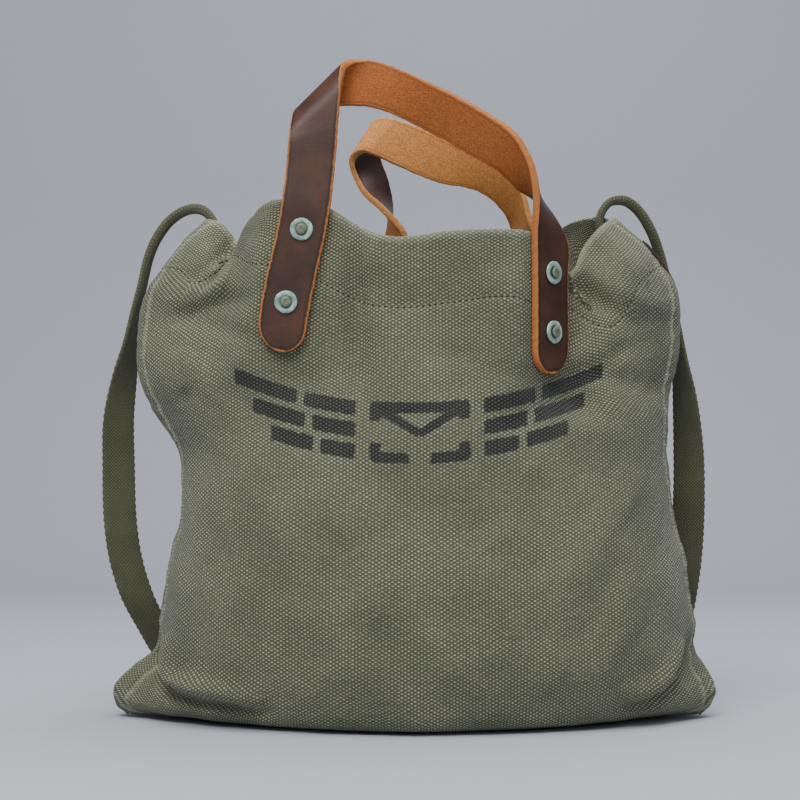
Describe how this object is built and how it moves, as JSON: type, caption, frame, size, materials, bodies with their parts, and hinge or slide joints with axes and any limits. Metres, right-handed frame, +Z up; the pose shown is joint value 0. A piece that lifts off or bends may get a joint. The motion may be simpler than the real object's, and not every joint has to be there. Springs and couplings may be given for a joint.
{
  "type": "mail sack",
  "caption": "Small open-topped canvas mail sack with riveted leather hand straps, leather side tabs and a webbing shoulder strap.",
  "frame": {"origin": "middle of the sack's bottom at floor level: the bottom centre of its box, measured without the shoulder strap", "axes": "+X to the right seen from the front, the front faces -Y, +Z up out of the mouth"},
  "size_m": [0.3411, 0.2102, 0.3498],
  "materials": {
    "canvas": "coarse olive canvas, plain weave, matt and worn",
    "webbing": "narrow olive cotton webbing, fine plain weave, matt",
    "strap_leather": "thick harness leather, dark polished grain outside and tan flesh inside",
    "tab_leather": "dark leather, worn and slightly creased",
    "green_copper": "copper rivets and burrs, green and pale blue with verdigris"
  },
  "bodies": {
    "sack": {"front_panel": "canvas", "back_panel": "canvas", "front_handle_left_end": "strap_leather", "front_handle_right_end": "strap_leather", "back_handle_left_end": "strap_leather", "back_handle_right_end": "strap_leather", "side_tab_left": "tab_leather", "side_tab_right": "tab_leather", "shoulder_strap": "webbing", "rivet_front_left_lower": "green_copper", "burr_front_left_lower": "green_copper", "rivet_front_left_upper": "green_copper", "burr_front_left_upper": "green_copper", "rivet_front_right_upper": "green_copper", "burr_front_right_upper": "green_copper", "rivet_front_right_lower": "green_copper", "burr_front_right_lower": "green_copper", "rivet_back_left_lower": "green_copper", "burr_back_left_lower": "green_copper", "rivet_back_left_upper": "green_copper", "burr_back_left_upper": "green_copper", "rivet_back_right_upper": "green_copper", "burr_back_right_upper": "green_copper", "rivet_back_right_lower": "green_copper", "burr_back_right_lower": "green_copper", "rivet_left_tab_lower": "green_copper", "burr_left_tab_lower": "green_copper", "rivet_left_tab_upper": "green_copper", "burr_left_tab_upper": "green_copper", "rivet_right_tab_lower": "green_copper", "burr_right_tab_lower": "green_copper", "rivet_right_tab_upper": "green_copper", "burr_right_tab_upper": "green_copper"},
    "front_handle": {"front_handle_loop": "strap_leather"},
    "back_handle": {"back_handle_loop": "strap_leather"}
  },
  "joints": [
    {"name": "front_handle_swing", "type": "hinge", "parent": "sack", "child": "front_handle", "pos_m": [0.007, -0.06, 0.2745], "axis": [0.9974, 0.0079, -0.0712], "range_deg": [-30, 75], "stiffness_Nm_per_rad": 0.15},
    {"name": "back_handle_swing", "type": "hinge", "parent": "sack", "child": "back_handle", "pos_m": [0.027, 0.062, 0.266], "axis": [1, 0, 0], "range_deg": [-75, 30], "stiffness_Nm_per_rad": 0.15}
  ]
}
